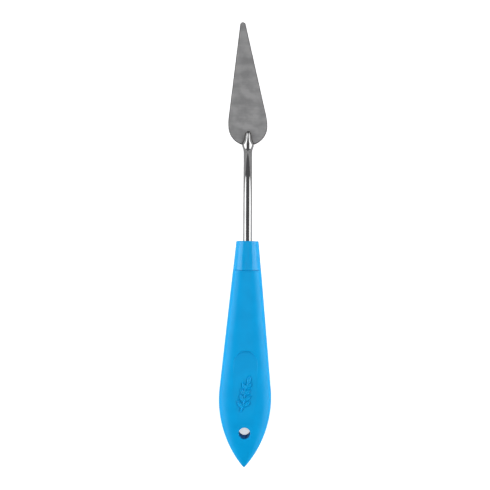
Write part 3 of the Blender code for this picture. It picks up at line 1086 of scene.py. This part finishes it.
def ground_steel():
    """The blade's faces, ground across, with soft bands and blotches."""
    made = Surface("ground_spring_steel")
    across = made.noise(2600, 3, 0.6, (0.05, 1, 1))
    bands = made.noise(300, 2, 0.5, (0.5, 1, 1))
    blotches = made.noise(230, 4, 0.6)
    tone = made.remap(made.maths("ADD", bands, blotches), 0, 1, 0.8, 1.2)
    made.set("Base Color", made.mix_colour(tone, (0.43, 0.43, 0.433), (0.55, 0.55, 0.55)))
    made.set("Metallic", 1)
    made.set("Roughness", made.remap(made.maths("ADD", across, blotches), 0.58, 0.68, 0.8, 1.2))
    made.set("Normal", made.bump(across, 0.006 * MM))
    return made.material


def painted_dark_edge_steel():
    """The blade's edge. Its near-black colour is painted shade, the dark line along the edge."""
    made = Surface("steel_edge_painted_dark")
    tone = made.remap(made.noise(900, 3), 0, 1)
    # near-black steel: painted shade along the blade's edge
    made.set("Base Color", made.mix_colour(tone, (0.07, 0.07, 0.07), (0.13, 0.13, 0.13)))
    made.set("Metallic", 1)
    made.set("Roughness", 0.34)
    return made.material


def braze_painted_shade():
    """The braze, a real joint, coloured near black as painted shade for the shadow line round
    the foot.
    """
    made = Surface("braze_metal_painted_shade")
    tone = made.remap(made.noise(1800, 3), 0, 1)
    # near-black braze: painted shade for the shadow line round the foot
    made.set("Base Color", made.mix_colour(tone, (0.045, 0.044, 0.042), (0.09, 0.088, 0.082)))
    made.set("Metallic", 1)
    made.set("Roughness", 0.48)
    made.set("Normal", made.bump(made.noise(5000, 2), 0.02 * MM))
    return made.material


# Stage

LIGHT_AWAY = 0.80  # metres from the knife

# Lights of each side: name; elevation, half height and half length in degrees, as seen from
# the knife; power in watts; whether mirrors see it.
SIDE_LIGHTS = (
    ("softbox", 25, 22, 46, 7.0, True),
    ("kicker", 8, 8, 30, 2.6, False),
)
LEFT_SHARE, RIGHT_SHARE = 1.02, 1.0  # of those powers
OVERHEAD_POWER = 1.7
OVERHEAD_SIZE = 0.7
ROOM_LIGHT = (0.17, 0.17, 0.175)
WALL_LIGHT = (0.72, 0.72, 0.73)
WALL_TOP = math.radians(3.5)
WALL_FADE = 0.3  # share of that height over which the wall fades, either way
BACKDROP = (0.86, 0.86, 0.87)
TABLE_HALF_SIZE = 4.0
TABLE_COLOUR = (0.82, 0.82, 0.82)
TABLE_IN_MIRRORS = (0.55, 0.55, 0.55)
TABLE_GLOW = (0.55, 0.86)  # near the knife and far from it
TABLE_FADE = (0.16, 1.2)  # metres over which the glow changes


def table_surface():
    """Matt and pale, darker in mirrors, with a glow that only the camera sees."""
    made = Surface("pale_floor")
    path = made.add("ShaderNodeLightPath")
    in_mirrors = path.outputs["Is Glossy Ray"]
    made.set("Base Color", made.mix_colour(in_mirrors, TABLE_COLOUR, TABLE_IN_MIRRORS))
    made.set("Roughness", 0.9)
    made.set("Specular IOR Level", 0.0)
    made.set("Emission Color", (1, 1, 1, 1))
    away = made.add("ShaderNodeVectorMath", {"Vector": made.place()}, operation="LENGTH")
    glow = made.remap(away.outputs["Value"], *TABLE_GLOW, *TABLE_FADE)
    made.set("Emission Strength", made.maths("MULTIPLY", path.outputs["Is Camera Ray"], glow))
    return made.material


def add_floor():
    """The table that the knife rests on."""
    shape = bmesh.new()
    half = TABLE_HALF_SIZE
    corners = ((-half, -half), (half, -half), (half, half), (-half, half))
    shape.faces.new([shape.verts.new((x, y, 0)) for x, y in corners])
    mesh = bpy.data.meshes.new("floor")
    shape.to_mesh(mesh)
    shape.free()
    floor = bpy.data.objects.new("floor", mesh)
    bpy.context.scene.collection.objects.link(floor)
    mesh.materials.append(table_surface())


def add_softbox(name, place, length, height, power):
    """An elliptical soft light that faces the knife."""
    data = bpy.data.lights.new(name, "AREA")
    data.shape = "ELLIPSE"
    data.size = length
    data.size_y = height
    data.energy = power
    light = bpy.data.objects.new(name, data)
    bpy.context.scene.collection.objects.link(light)
    light.location = place
    light.rotation_euler = (-Vector(place)).to_track_quat("-Z", "Y").to_euler()
    light.visible_camera = False
    return light


def add_world():
    """A dim room with a paler wall low down. Straight to the camera it is a pale backdrop."""
    world = bpy.data.worlds.new("studio")
    bpy.context.scene.world = world
    world.use_nodes = True
    made = Recipe(world.node_tree)
    background = made.tree.nodes["Background"]
    where = made.add("ShaderNodeTexCoord")
    height = made.add("ShaderNodeSeparateXYZ", {"Vector": where.outputs["Generated"]})
    top = math.sin(WALL_TOP)
    low, high = top * (1 - WALL_FADE), top * (1 + WALL_FADE)
    share = made.remap(height.outputs["Z"], 1, 0, low, high)
    room = made.mix_colour(share, ROOM_LIGHT, WALL_LIGHT)
    path = made.add("ShaderNodeLightPath")
    shown = made.mix_colour(path.outputs["Is Camera Ray"], room, BACKDROP)
    made.tree.links.new(shown, background.inputs["Color"])


def add_lights():
    """Lights on both sides, and a soft fill above that mirrors don't see."""
    for kind, rise, spread, sweep, power, in_mirrors in SIDE_LIGHTS:
        elevation = math.radians(rise)
        away, up = LIGHT_AWAY * math.cos(elevation), LIGHT_AWAY * math.sin(elevation)
        length = 2 * LIGHT_AWAY * math.tan(math.radians(sweep))
        height = 2 * LIGHT_AWAY * math.tan(math.radians(spread))
        for side, share, name in ((-1, LEFT_SHARE, "left"), (1, RIGHT_SHARE, "right")):
            place = (side * away, 0, up)
            light = add_softbox(f"{kind}_{name}", place, length, height, power * share)
            light.visible_glossy = in_mirrors
    place, size = (0, 0, LIGHT_AWAY), OVERHEAD_SIZE
    fill = add_softbox("overhead", place, size, size, OVERHEAD_POWER)
    fill.visible_glossy = False


def add_camera():
    """Looks square at the handle's face, turned so that the knife leans a little."""
    data = bpy.data.cameras.new("camera")
    data.lens = CAMERA_LENS
    data.sensor_width = CAMERA_SENSOR
    data.shift_x = CAMERA_SHIFT
    data.clip_start = CAMERA_CLIP
    camera = bpy.data.objects.new("camera", data)
    bpy.context.scene.collection.objects.link(camera)
    y, z = on_axis(CAMERA_OVER)
    up = Vector((0, math.cos(HANDLE_TILT), math.sin(HANDLE_TILT)))
    back = Vector((0, -math.sin(HANDLE_TILT), math.cos(HANDLE_TILT)))
    turn = Matrix.Rotation(CAMERA_ROLL, 3, back)
    up = turn @ up
    right = up.cross(back)
    place = Vector((0, y, z)) + back * CAMERA_DISTANCE
    matrix = Matrix((right, up, back)).transposed().to_4x4()
    matrix.translation = place
    camera.matrix_world = matrix
    bpy.context.scene.camera = camera


EDGE_SLOPE = math.radians(3)  # steeper faces of the blade get the edge's steel, painted dark as shade


def add_handle():
    """The moulding: its collar, past the line, is glossier than its body."""
    mesh = handle_mesh()
    for face in mesh.polygons:
        face.material_index = int(face.center.y > COLLAR_START)
    body = satin_plastic()
    add_piece("handle_moulding", mesh, body, "handle", handle_matrix())
    mesh.materials.append(glossy_plastic())


def add_shank():
    """The rod, which is shaped in the part's frame."""
    add_piece("shank_rod", shank_mesh(), polished_steel(), "shank")


def add_blade():
    """The leaf, turned to its lean about the centre of its heel."""
    place = Matrix.Translation((*blade_centre(), 0)) @ Matrix.Rotation(BLADE_LEAN, 4, "Z")
    mesh = blade_mesh()
    add_piece("blade_leaf", mesh, ground_steel(), "blade", place)
    mesh.materials.append(painted_dark_edge_steel())
    # the edge faces take the second material, painted dark as shade
    for face in mesh.polygons:
        face.material_index = int(abs(face.normal.z) < math.cos(EDGE_SLOPE))


def add_braze():
    """The fillet, which is shaped about the foot's nose."""
    nose = shank_corners()[3]
    place = Matrix.Translation((-SHANK_DRIFT, nose[0], BLADE_THICKNESS - SEAM_SINK))
    add_piece("braze_fillet", seam_mesh(), braze_painted_shade(), "braze_seam", place)


add_floor()
add_world()
add_lights()
add_camera()
add_handle()
add_shank()
add_blade()
add_braze()
bpy.context.scene.view_settings.view_transform = "Standard"
